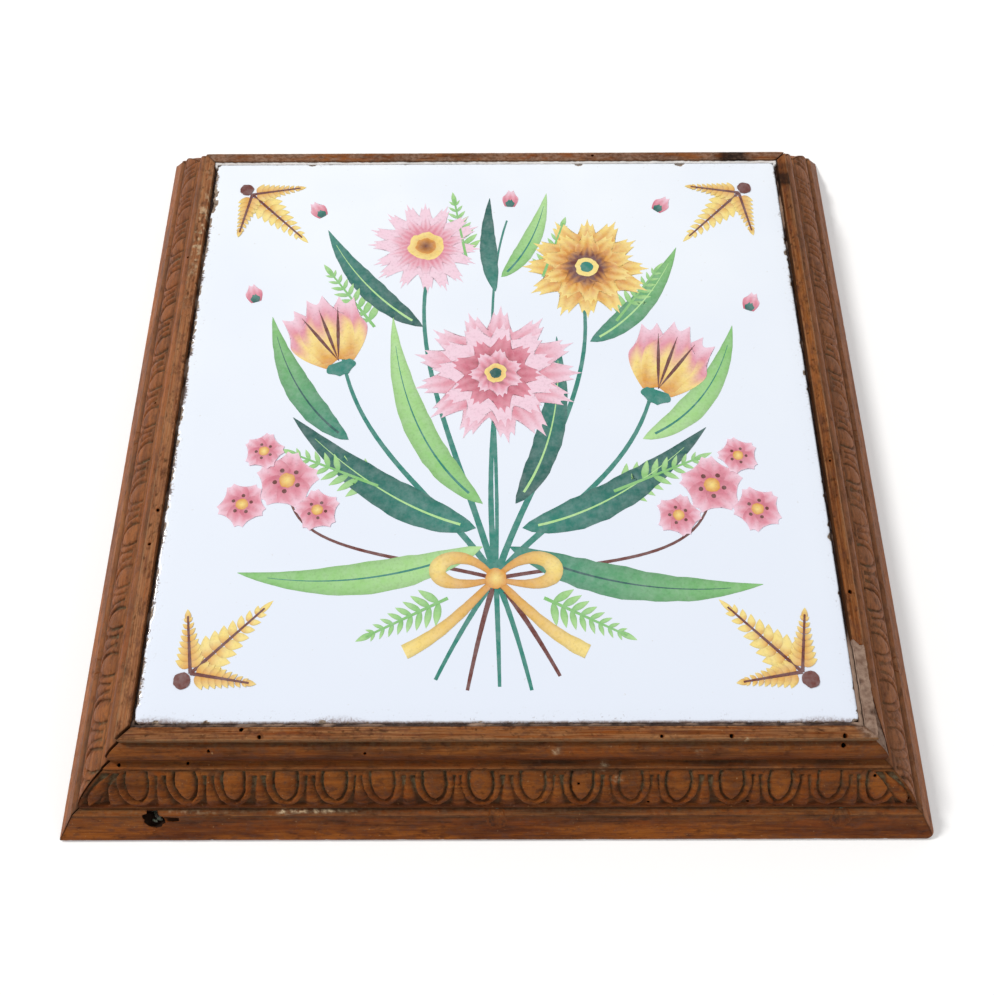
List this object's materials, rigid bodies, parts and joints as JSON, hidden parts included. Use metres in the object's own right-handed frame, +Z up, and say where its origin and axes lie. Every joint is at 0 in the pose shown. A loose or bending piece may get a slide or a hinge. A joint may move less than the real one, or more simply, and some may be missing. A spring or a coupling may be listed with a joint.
{
  "type": "tile trivet",
  "caption": "Square table trivet: a glazed tile set flush on a board inside a mitred wooden frame with an egg-and-dart carved moulding.",
  "frame": {"origin": "middle of the underside of the frame, on the table", "axes": "+Z up, square to the tile's face; -Y towards the user, at the side of the rail with the open nail hole; +X towards the side of the filled corner"},
  "size_m": [0.2556, 0.2556, 0.0316],
  "materials": {
    "glazed_tile": "white tin glaze with painted enamels, glossy",
    "plaster": "plaster, matt",
    "putty": "old dark putty, matt",
    "board_wood": "plain softwood, unfinished",
    "frame_wood": "stained and waxed hardwood, worn",
    "nail_iron": "rusted wrought nail",
    "plug_wood": "stained plug",
    "filler": "grey-brown repair filler, matt"
  },
  "bodies": {
    "root": {"tile": "glazed_tile", "setting_bed": "plaster", "edge_putty": "putty", "base_board": "board_wood", "rail_front": "frame_wood", "rail_rear": "frame_wood", "rail_left": "frame_wood", "rail_right": "frame_wood", "rail_nails": "nail_iron", "nail_plugs": "plug_wood", "corner_filler": "filler"}
  },
  "joints": []
}
